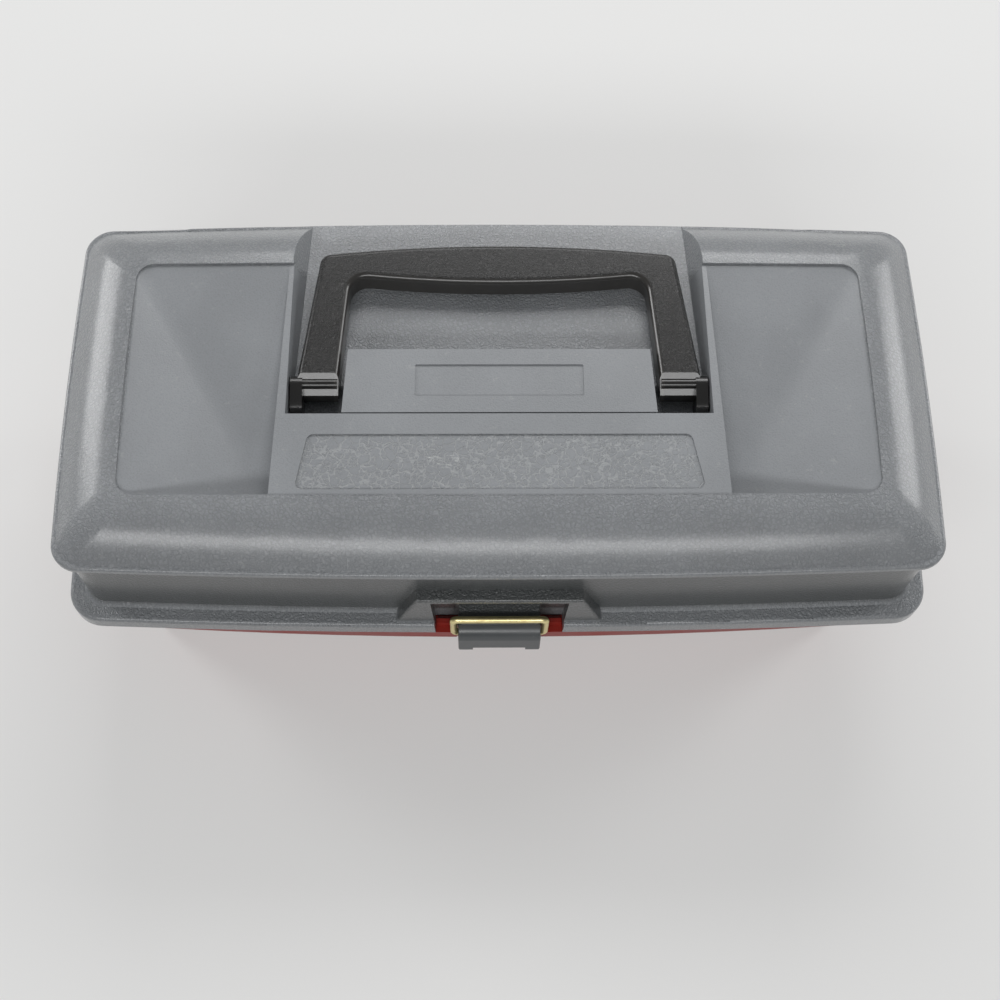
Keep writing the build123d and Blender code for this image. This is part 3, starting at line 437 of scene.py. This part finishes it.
@dataclass(frozen=True)
class Moulded:
    """Moulded plastic with one grain all over."""

    name: str
    colour: Colour
    pale_tone: Colour
    grain: Grain
    depth: float
    rough: float

    def material(self) -> bpy.types.Material:
        """Build the material."""
        c = Canvas(self.name)
        c.bump(c.grain(self.grain), self.depth, 0.8)
        cloud = c.noise(18 * MM, 3.0, 0.55)
        tint = c.blend(c.ramp(cloud, 0.35, 0.7), tuple(v * 0.9 for v in self.colour), self.colour)
        rub = c.math("MULTIPLY", c.ramp(c.noise(4 * MM, 5.0, 0.7), 0.58, 0.74), 0.25)
        c.feed(c.shader.inputs["Base Color"], c.blend(rub, tint, self.pale_tone))
        c.feed(c.shader.inputs["Roughness"], c.ramp(cloud, 0.3, 0.75, self.rough - 0.05, self.rough + 0.06))
        return c.material


@dataclass(frozen=True)
class HandlePlastic:
    """Near-black handle plastic, pebbled on its face and smooth along the finger opening."""

    colour: Colour = (0.012, 0.0115, 0.011)
    # Paler colour, used for worn patches and for the painted highlights on the pebble tops and along the finger
    # opening.
    pale_tone: Colour = (0.060, 0.056, 0.050)
    opening_half: float = 61.5 * MM
    opening_taper: float = 0.0757
    opening_front_y: float = -6.1 * MM
    opening_back_y: float = 41.8 * MM
    opening_bow: float = 1.085
    opening_reach: float = 60.0 * MM
    opening_corner: float = 7.0 * MM
    rim_width: float = 1.5 * MM
    face_end_y: float = 2.0 * MM
    grain_depth: float = 0.38 * MM
    sheen_share: float = 0.4
    sheen_rough: float = 0.2

    def material(self) -> bpy.types.Material:
        """Build the material."""
        c = Canvas("black_handle_plastic_grain")
        along = c.math("MULTIPLY", c.math("SUBTRACT", c.y, self.opening_front_y), -self.opening_taper)
        half = c.math("ADD", along, self.opening_half + self.rim_width)
        bow = c.math("MULTIPLY", c.math("MULTIPLY", c.x, c.x), -self.opening_bow)
        across = c.math("ADD", c.y, bow)
        middle = self.opening_back_y + self.rim_width - self.opening_reach
        rim = c.inside(half, self.opening_reach, middle, self.opening_corner, 0.12 * MM, across)
        face = c.math("MULTIPLY", c.ramp(c.y, self.face_end_y - 0.2 * MM, self.face_end_y + 0.2 * MM),
                      c.math("SUBTRACT", 1.0, rim))
        pebble = c.grain(Grain.PEBBLE)
        c.bump(c.math("MULTIPLY", face, pebble), self.grain_depth, 1.0)
        cloud = c.noise(18 * MM, 3.0, 0.55)
        tint = c.blend(c.ramp(cloud, 0.35, 0.7), tuple(v * 0.85 for v in self.colour), self.colour)
        # Painted highlight: the tops of the pebbles are lightened, standing in for the glints of light on the
        # grain.
        pebble_top_highlight = c.math("MULTIPLY", face, c.ramp(pebble, 0.6, 1.0, 0.0, 0.30))
        tint = c.blend(pebble_top_highlight, tint, self.pale_tone)
        rub = c.math("MULTIPLY", c.ramp(c.noise(4 * MM, 5.0, 0.7), 0.56, 0.72), 0.3)
        tint = c.blend(rub, tint, self.pale_tone)
        # Painted highlight: the smooth rim along the finger opening is lightened, standing in for the light
        # along its rolled edge.
        tint = c.blend(c.math("MULTIPLY", rim, 0.35), tint, self.pale_tone)
        c.feed(c.shader.inputs["Base Color"], tint)
        c.feed(c.shader.inputs["Roughness"], c.mix(face, 0.30, c.ramp(cloud, 0.3, 0.75, 0.38, 0.5)))
        c.shader.inputs["Coat Weight"].default_value = self.sheen_share
        c.shader.inputs["Coat Roughness"].default_value = self.sheen_rough
        return c.material


@dataclass(frozen=True)
class Metal:
    """Plain metal with fine marks from drawing or rolling."""

    name: str
    colour: Colour
    tarnish: Colour
    rough: float
    marks: Place = (1.0, 1.0, 1.0)

    def material(self) -> bpy.types.Material:
        """Build the material."""
        c = Canvas(self.name)
        c.shader.inputs["Metallic"].default_value = 1.0
        fine = c.noise(0.7 * MM, 2.0, 0.5, self.marks)
        dull = c.ramp(c.noise(6 * MM, 3.0, 0.5), 0.42, 0.72)
        c.feed(c.shader.inputs["Base Color"], c.blend(c.math("MULTIPLY", dull, 0.6), self.colour, self.tarnish))
        c.feed(c.shader.inputs["Roughness"], c.math("ADD", c.ramp(fine, 0.3, 0.7, -0.05, 0.08),
                                                    c.ramp(dull, 0.0, 1.0, self.rough, self.rough + 0.12)))
        c.bump(fine, 0.012 * MM, 0.5)
        return c.material


class Palette:
    """The finishes by the record's material slots."""

    def __init__(self) -> None:
        """Build every material once."""
        finishes = {
            "grey_lid_plastic": LidPlastic(),
            "red_base_plastic": Moulded("red_base_plastic_grain", (0.30, 0.022, 0.014), (0.42, 0.10, 0.07),
                                        Grain.SATIN, 0.03 * MM, 0.36),
            "black_handle_plastic": HandlePlastic(),
            "grey_latch_plastic": Moulded("grey_latch_plastic_grain", (0.085, 0.092, 0.096), (0.22, 0.22, 0.22),
                                          Grain.SATIN, 0.02 * MM, 0.33),
            "tray_plastic": Moulded("tray_plastic_grain", (0.27, 0.28, 0.29), (0.4, 0.4, 0.4),
                                    Grain.SATIN, 0.025 * MM, 0.38),
            "yellow_brass_wire": Metal("yellow_brass_wire_marks", (0.86, 0.75, 0.40), (0.66, 0.54, 0.26), 0.36,
                                       (0.25, 1.0, 1.0)),
            "plated_steel": Metal("plated_steel_marks", (0.60, 0.60, 0.61), (0.42, 0.42, 0.43), 0.32),
            "rivet_metal": Metal("rivet_metal_marks", (0.72, 0.72, 0.73), (0.5, 0.5, 0.5), 0.3),
        }
        self.by_slot = {slot: finish.material() for slot, finish in finishes.items()}

    def dress(self, node: str, slot: str) -> None:
        """Give a CAD node its material.

        Args:
            node: Name of the node.
            slot: Material slot of the record.
        """
        solid = frame["nodes"][node]
        solid.data.materials.clear()
        solid.data.materials.append(self.by_slot[slot])


@dataclass(frozen=True)
class Workbench:
    """Mesh tools that every sub-assembly uses: selecting, editing and handing over a piece."""

    palette: Palette
    rod_sides: int = 40
    rod_end_steps: int = 4
    same_place: float = 0.001 * MM
    weld_gap: float = 0.002 * MM
    flat_within: float = 0.6
    edge_above: float = 48.0
    edge_steps: int = 2
    smooth_below: float = 35.0
    face_weight: int = 100

    def clear(self) -> None:
        """Leave nothing selected."""
        bpy.ops.object.select_all(action="DESELECT")

    def take(self, piece: bpy.types.Object) -> None:
        """Select one piece alone and make it active.

        Args:
            piece: The piece to work on.
        """
        self.clear()
        piece.select_set(True)
        bpy.context.view_layer.objects.active = piece

    def turned(self, x0: float, x1: float, radius: float, centre: tuple[float, float],
               round0: float, round1: float) -> bpy.types.Object:
        """Turn a rod along X with rounded ends.

        Args:
            x0: Where it starts.
            x1: Where it ends.
            radius: Its radius.
            centre: Its axis as Y and Z.
            round0: How far its edge at x0 is rounded.
            round1: How far its edge at x1 is rounded.

        Returns:
            The rod.
        """
        self.clear()
        bpy.ops.mesh.primitive_cylinder_add(vertices=self.rod_sides, radius=radius, depth=x1 - x0,
                                            location=((x0 + x1) / 2, *centre),
                                            rotation=(0.0, math.pi / 2, 0.0))
        rod = bpy.context.object
        bpy.ops.object.transform_apply(location=True, rotation=True, scale=True)
        for end, amount in ((x0, round0), (x1, round1)):
            if amount > 0.0:
                self.select_ring(rod, end)
                bpy.ops.object.mode_set(mode="EDIT")
                bpy.ops.mesh.select_mode(type="EDGE")
                bpy.ops.mesh.bevel(offset=amount, segments=self.rod_end_steps, affect="EDGES")
                bpy.ops.object.mode_set(mode="OBJECT")
        return rod

    def select_ring(self, rod: bpy.types.Object, end: float) -> None:
        """Select the ring of edges at one end of a rod.

        Args:
            rod: The rod, in object mode.
            end: Place of the ring along X.
        """
        points = rod.data.vertices
        for polygon in rod.data.polygons:
            polygon.select = False
        for edge in rod.data.edges:
            edge.select = all(abs(points[index].co.x - end) < self.same_place for index in edge.vertices)
        for point in points:
            point.select = abs(point.co.x - end) < self.same_place

    def joined(self, parts: list[bpy.types.Object], name: str) -> bpy.types.Object:
        """Join rods into one piece.

        Args:
            parts: The rods.
            name: Name of the piece.

        Returns:
            The piece.
        """
        self.clear()
        for part in parts:
            part.select_set(True)
        bpy.context.view_layer.objects.active = parts[0]
        if len(parts) > 1:
            bpy.ops.object.join()
        piece = bpy.context.object
        piece.name = name
        piece.data.name = name
        return piece

    def mirrored(self, piece: bpy.types.Object, name: str) -> bpy.types.Object:
        """Copy a piece to the other side of the box.

        Args:
            piece: Piece on the right-hand side.
            name: Name of the copy.

        Returns:
            The copy.
        """
        self.take(piece)
        bpy.ops.object.duplicate()
        copy = bpy.context.object
        copy.name = name
        copy.data.name = name
        bpy.ops.object.mode_set(mode="EDIT")
        bpy.ops.mesh.select_all(action="SELECT")
        bpy.ops.transform.mirror(constraint_axis=(True, False, False), center_override=(0.0, 0.0, 0.0))
        bpy.ops.mesh.normals_make_consistent(inside=False)
        bpy.ops.object.mode_set(mode="OBJECT")
        return copy

    def eased(self, node: str, width: float, name: str) -> bpy.types.Object:
        """Give a moulded piece the soft edges that its mould leaves.

        Args:
            node: CAD node whose shape the piece has.
            width: How far its edges are rounded.
            name: Name of the piece.

        Returns:
            The piece.
        """
        piece = bpy.data.objects.new(name, frame["nodes"][node].data.copy())
        bpy.context.scene.collection.objects.link(piece)
        piece.data.name = name
        self.take(piece)
        bpy.ops.object.mode_set(mode="EDIT")
        bpy.ops.mesh.select_all(action="SELECT")
        bpy.ops.mesh.remove_doubles(threshold=self.weld_gap)
        bpy.ops.mesh.dissolve_limited(angle_limit=math.radians(self.flat_within))
        bpy.ops.object.mode_set(mode="OBJECT")
        bevel = piece.modifiers.new("soft_edges", "BEVEL")
        bevel.limit_method = "ANGLE"
        bevel.angle_limit = math.radians(self.edge_above)
        bevel.width = width
        bevel.segments = self.edge_steps
        bevel.use_clamp_overlap = True
        bpy.ops.object.modifier_apply(modifier=bevel.name)
        return piece

    def hand_over(self, piece: bpy.types.Object, body: str, slot: str, *nodes: str) -> None:
        """Smooth a piece, dress it and let it stand for its CAD nodes.

        Args:
            piece: The finished piece.
            body: Body that it rides on.
            slot: Material slot of its finish.
            nodes: CAD nodes that it stands for.
        """
        self.take(piece)
        bpy.ops.object.shade_smooth_by_angle(angle=math.radians(self.smooth_below))
        flats = piece.modifiers.new("flat_faces", "WEIGHTED_NORMAL")
        flats.keep_sharp = True
        flats.weight = self.face_weight
        bpy.ops.object.modifier_apply(modifier=flats.name)
        piece.data.materials.clear()
        piece.data.materials.append(self.palette.by_slot[slot])
        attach(piece, body)
        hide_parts(*nodes)
        LOG.info("%s made for %s", piece.name, ", ".join(nodes))


@dataclass
class WireBail:
    """Bent wire loop of the latch, drawn out and bent along its own path."""

    bench: Workbench
    wire: float = 1.4 * MM
    end_x: float = 13.4 * MM
    leg_x: float = 17.8 * MM
    foot: tuple[float, float] = (-80.5 * MM, 65.8 * MM)
    bar: tuple[float, float] = (-81.4 * MM, 82.5 * MM)
    bend: float = 1.9 * MM
    wire_sides: int = 24
    bend_steps: int = 8

    def build(self) -> None:
        """Draw the wire from one turned-in end to the other."""
        foot = Vector((0.0, *self.foot))
        leg = Vector((0.0, *self.bar)) - foot
        up = leg.normalized()
        right = Vector((1.0, 0.0, 0.0))
        self.bench.clear()
        at = foot - right * self.end_x
        bpy.ops.mesh.primitive_circle_add(vertices=self.wire_sides, radius=self.wire, fill_type="NGON",
                                          location=at, rotation=(0.0, math.pi / 2, 0.0))
        wire = bpy.context.object
        bpy.ops.object.transform_apply(location=True, rotation=True, scale=True)
        bpy.ops.object.mode_set(mode="EDIT")
        bpy.ops.mesh.select_all(action="SELECT")
        turned_in = self.leg_x - self.end_x - self.bend
        side = leg.length - 2 * self.bend
        runs = ((-right, turned_in), (up, side), (right, 2 * self.leg_x - 2 * self.bend),
                (-up, side), (-right, turned_in))
        for number, (way, length) in enumerate(runs):
            bpy.ops.mesh.extrude_region_move(TRANSFORM_OT_translate={"value": way * length})
            at = at + way * length
            if number + 1 < len(runs):
                after = runs[number + 1][0]
                bpy.ops.mesh.spin(steps=self.bend_steps, angle=-math.pi / 2,
                                  center=at + after * self.bend, axis=way.cross(after))
                at = at + (way + after) * self.bend
        bpy.ops.mesh.select_all(action="SELECT")
        bpy.ops.mesh.remove_doubles(threshold=self.bench.same_place)
        bpy.ops.mesh.normals_make_consistent(inside=False)
        bpy.ops.object.mode_set(mode="OBJECT")
        wire.name = "bail_wire"
        self.bench.hand_over(wire, "bail", "yellow_brass_wire", "latch_bail")


@dataclass
class Rivets:
    """Domed rivets of the cantilever arms and links, modelled on the right and copied to the left."""

    bench: Workbench
    shank: float = 1.8 * MM
    head: float = 3.4 * MM
    collar: float = 2.8 * MM
    head_thick: float = 1.0 * MM
    dome: float = 0.75 * MM
    end_round: float = 0.3 * MM
    end_skin: float = 0.01 * MM
    collar_round: float = 0.15 * MM
    collar_end: float = 4.7 * MM
    collar_start: dict[str, float] = field(default_factory=lambda: {
        "base_rivet_rear": 3.4 * MM, "base_rivet_front": 3.4 * MM, "link_rivet_low": 3.3 * MM})
    bodies: dict[str, str] = field(default_factory=lambda: {
        "base_rivet_rear": "base", "base_rivet_front": "base", "tray_rivet_rear": "tray",
        "tray_rivet_front": "tray", "link_rivet_low": "rear_arms", "link_rivet_high": "lid"})

    def build(self) -> None:
        """Make every rivet on the CAD node's own place."""
        for name, body in self.bodies.items():
            self.make(name, body)

    def make(self, name: str, body: str) -> None:
        """Make one pair of rivets.

        Args:
            name: Name that both nodes share.
            body: Body that the rivets ride on.
        """
        low, high = (Vector(corner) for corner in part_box(f"{name}_right"))
        centre = ((low.y + high.y) / 2, (low.z + high.z) / 2)
        if name.startswith("tray"):
            head = (high.x - self.head_thick, high.x, self.head, centre, 0.0, self.dome)
        else:
            head = (low.x, low.x + self.head_thick, self.head, centre, self.dome, 0.0)
        shank = (low.x, high.x - self.end_skin, self.shank, centre, self.end_round, self.end_round)
        rods = [self.bench.turned(*head), self.bench.turned(*shank)]
        if name in self.collar_start:
            start, end = low.x + self.collar_start[name], low.x + self.collar_end
            collar = (start, end, self.collar, centre, self.collar_round, self.collar_round)
            rods.append(self.bench.turned(*collar))
        right = self.bench.joined(rods, f"{name}_domed_right")
        left = self.bench.mirrored(right, f"{name}_domed_left")
        self.bench.hand_over(right, body, "rivet_metal", f"{name}_right")
        self.bench.hand_over(left, body, "rivet_metal", f"{name}_left")


@dataclass
class Pins:
    """Steel pins of the hinge and the latch, with rounded ends."""

    bench: Workbench
    rounding: float = 0.5 * MM

    def build(self) -> None:
        """Make each pin on the CAD node's own place."""
        for name in ("latch_pin", "hinge_pin_left", "hinge_pin_right"):
            low, high = (Vector(corner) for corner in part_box(name))
            centre = ((low.y + high.y) / 2, (low.z + high.z) / 2)
            rod = self.bench.turned(low.x, high.x, (high.z - low.z) / 2, centre, self.rounding, self.rounding)
            piece = self.bench.joined([rod], f"{name}_rounded")
            self.bench.hand_over(piece, "base", "plated_steel", name)


@dataclass
class MouldedPieces:
    """Pieces whose edges are softened as they leave the mould or the press."""

    bench: Workbench
    edges: dict[str, tuple[str, str, float]] = field(default_factory=lambda: {
        "latch_lever": ("lever", "grey_latch_plastic", 0.35 * MM),
        "tray": ("tray", "tray_plastic", 0.45 * MM),
        **{f"tray_divider_{number}": ("tray", "tray_plastic", 0.3 * MM) for number in (1, 2, 3)},
        **{f"{strap}_{side}": (f"{strap}s", "plated_steel", 0.25 * MM)
           for strap in ("rear_arm", "front_arm", "lid_link") for side in ("left", "right")},
    })

    def build(self) -> None:
        """Soften every piece of the list."""
        for node, (body, slot, width) in self.edges.items():
            piece = self.bench.eased(node, width, f"{node}_soft_edged")
            self.bench.hand_over(piece, body, slot, node)


@dataclass
class Studio:
    """Camera, floor and lamps."""

    camera_place: Place = (-8.2 * MM, -269.6 * MM, 629.0 * MM)
    look_down: float = 66.42
    turn: float = -2.10
    roll: float = 1.81
    lens: float = 54.0
    film_width: float = 36.0
    view_reach: float = 50.0
    floor_size: float = 12.0
    floor_pale: Colour = (0.52, 0.52, 0.515)
    floor_bounce: Colour = (0.20, 0.20, 0.20)
    floor_light: Colour = (1.0, 1.0, 0.99)
    floor_glow: float = 0.28
    room_light: Colour = (0.97, 0.98, 1.0)
    room_power: float = 0.19
    backdrop: Colour = (0.86, 0.86, 0.86)
    lamps: list[tuple[str, Place, Place, tuple[float, float], float]] = field(default_factory=lambda: [
        ("lamp_behind", (0.12, 0.95, 0.98), (0.0, 0.0, 0.10), (0.85, 0.55), 7.4),
        ("lamp_left", (-1.15, 0.60, 0.55), (0.0, 0.0, 0.12), (0.40, 0.7), 6.0),
        ("lamp_right", (1.15, 0.50, 0.55), (0.0, 0.0, 0.12), (0.40, 0.7), 5.0),
        ("lamp_front", (-0.10, -1.05, 0.95), (0.0, 0.0, 0.12), (1.2, 0.26), 8.5),
    ])

    def build(self) -> None:
        """Set up the camera, the floor, the lamps and the world."""
        self.add_camera()
        self.add_floor()
        for name, place, target, size, power in self.lamps:
            self.add_lamp(name, place, target, size, power)
        self.add_world()

    def add_camera(self) -> None:
        """Place the camera where the photograph was taken from."""
        data = bpy.data.cameras.new("camera")
        data.lens = self.lens
        data.sensor_width = self.film_width
        data.clip_end = self.view_reach
        camera = bpy.data.objects.new("camera", data)
        bpy.context.scene.collection.objects.link(camera)
        camera.matrix_world = (Matrix.Translation(self.camera_place)
                               @ Matrix.Rotation(math.radians(self.turn), 4, "Z")
                               @ Matrix.Rotation(math.radians(90.0 - self.look_down), 4, "X")
                               @ Matrix.Rotation(math.radians(self.roll), 4, "Z"))
        bpy.context.scene.camera = camera

    def add_floor(self) -> None:
        """Lay the plain pale floor, which sends less light back than it shows."""
        bpy.ops.object.select_all(action="DESELECT")
        bpy.ops.mesh.primitive_plane_add(size=self.floor_size)
        floor = bpy.context.object
        floor.name = "floor"
        c = Canvas("floor_paper")
        path = c.tree.nodes.new("ShaderNodeLightPath")
        seen = c.math("MAXIMUM", path.outputs["Is Camera Ray"], path.outputs["Is Glossy Ray"])
        seen = c.math("MAXIMUM", seen, path.outputs["Is Transmission Ray"])
        c.feed(c.shader.inputs["Base Color"], c.blend(seen, self.floor_bounce, self.floor_pale))
        c.shader.inputs["Emission Color"].default_value = (*self.floor_light, 1.0)
        c.feed(c.shader.inputs["Emission Strength"], c.math("MULTIPLY", seen, self.floor_glow))
        c.shader.inputs["Roughness"].default_value = 0.9
        c.shader.inputs["Specular IOR Level"].default_value = 0.1
        c.bump(c.noise(2.5 * MM, 3.0), 0.05 * MM, 0.3)
        floor.data.materials.append(c.material)

    def add_lamp(self, name: str, place: Place, target: Place, size: tuple[float, float],
                 power: float) -> None:
        """Add a soft rectangular lamp that faces a point.

        Args:
            name: Name of the lamp.
            place: Where it hangs.
            target: Point that it faces.
            size: Its two sides in metres.
            power: Its power in watts.
        """
        data = bpy.data.lights.new(name, "AREA")
        data.shape = "RECTANGLE"
        data.size, data.size_y = size
        data.energy = power
        lamp = bpy.data.objects.new(name, data)
        bpy.context.scene.collection.objects.link(lamp)
        aim = (Vector(target) - Vector(place)).to_track_quat("-Z", "Y")
        lamp.matrix_world = Matrix.Translation(place) @ aim.to_matrix().to_4x4()

    def add_world(self) -> None:
        """Fill the room with even pale light."""
        world = bpy.data.worlds.new("pale_room")
        world.use_nodes = True
        tree = world.node_tree
        tree.nodes.clear()
        output = tree.nodes.new("ShaderNodeOutputWorld")
        room = tree.nodes.new("ShaderNodeBackground")
        room.inputs["Color"].default_value = (*self.room_light, 1.0)
        room.inputs["Strength"].default_value = self.room_power
        seen = tree.nodes.new("ShaderNodeBackground")
        seen.inputs["Color"].default_value = (*self.backdrop, 1.0)
        path = tree.nodes.new("ShaderNodeLightPath")
        switch = tree.nodes.new("ShaderNodeMixShader")
        tree.links.new(path.outputs["Is Camera Ray"], switch.inputs[0])
        tree.links.new(room.outputs[0], switch.inputs[1])
        tree.links.new(seen.outputs[0], switch.inputs[2])
        tree.links.new(switch.outputs[0], output.inputs["Surface"])
        bpy.context.scene.world = world


def main() -> None:
    """Dress the box and light it."""
    logging.basicConfig(level=logging.INFO, format="%(name)s: %(message)s")
    bpy.context.scene.view_settings.view_transform = "Standard"
    Studio().build()
    palette = Palette()
    for entry in frame["record"]["subparts"]:
        palette.dress(entry["node"], entry["material_slot"])
        LOG.info("%s dressed as %s", entry["node"], entry["material_slot"])
    bench = Workbench(palette)
    for assembly in (WireBail(bench), Rivets(bench), Pins(bench), MouldedPieces(bench)):
        assembly.build()


if __name__ == "__main__":
    main()
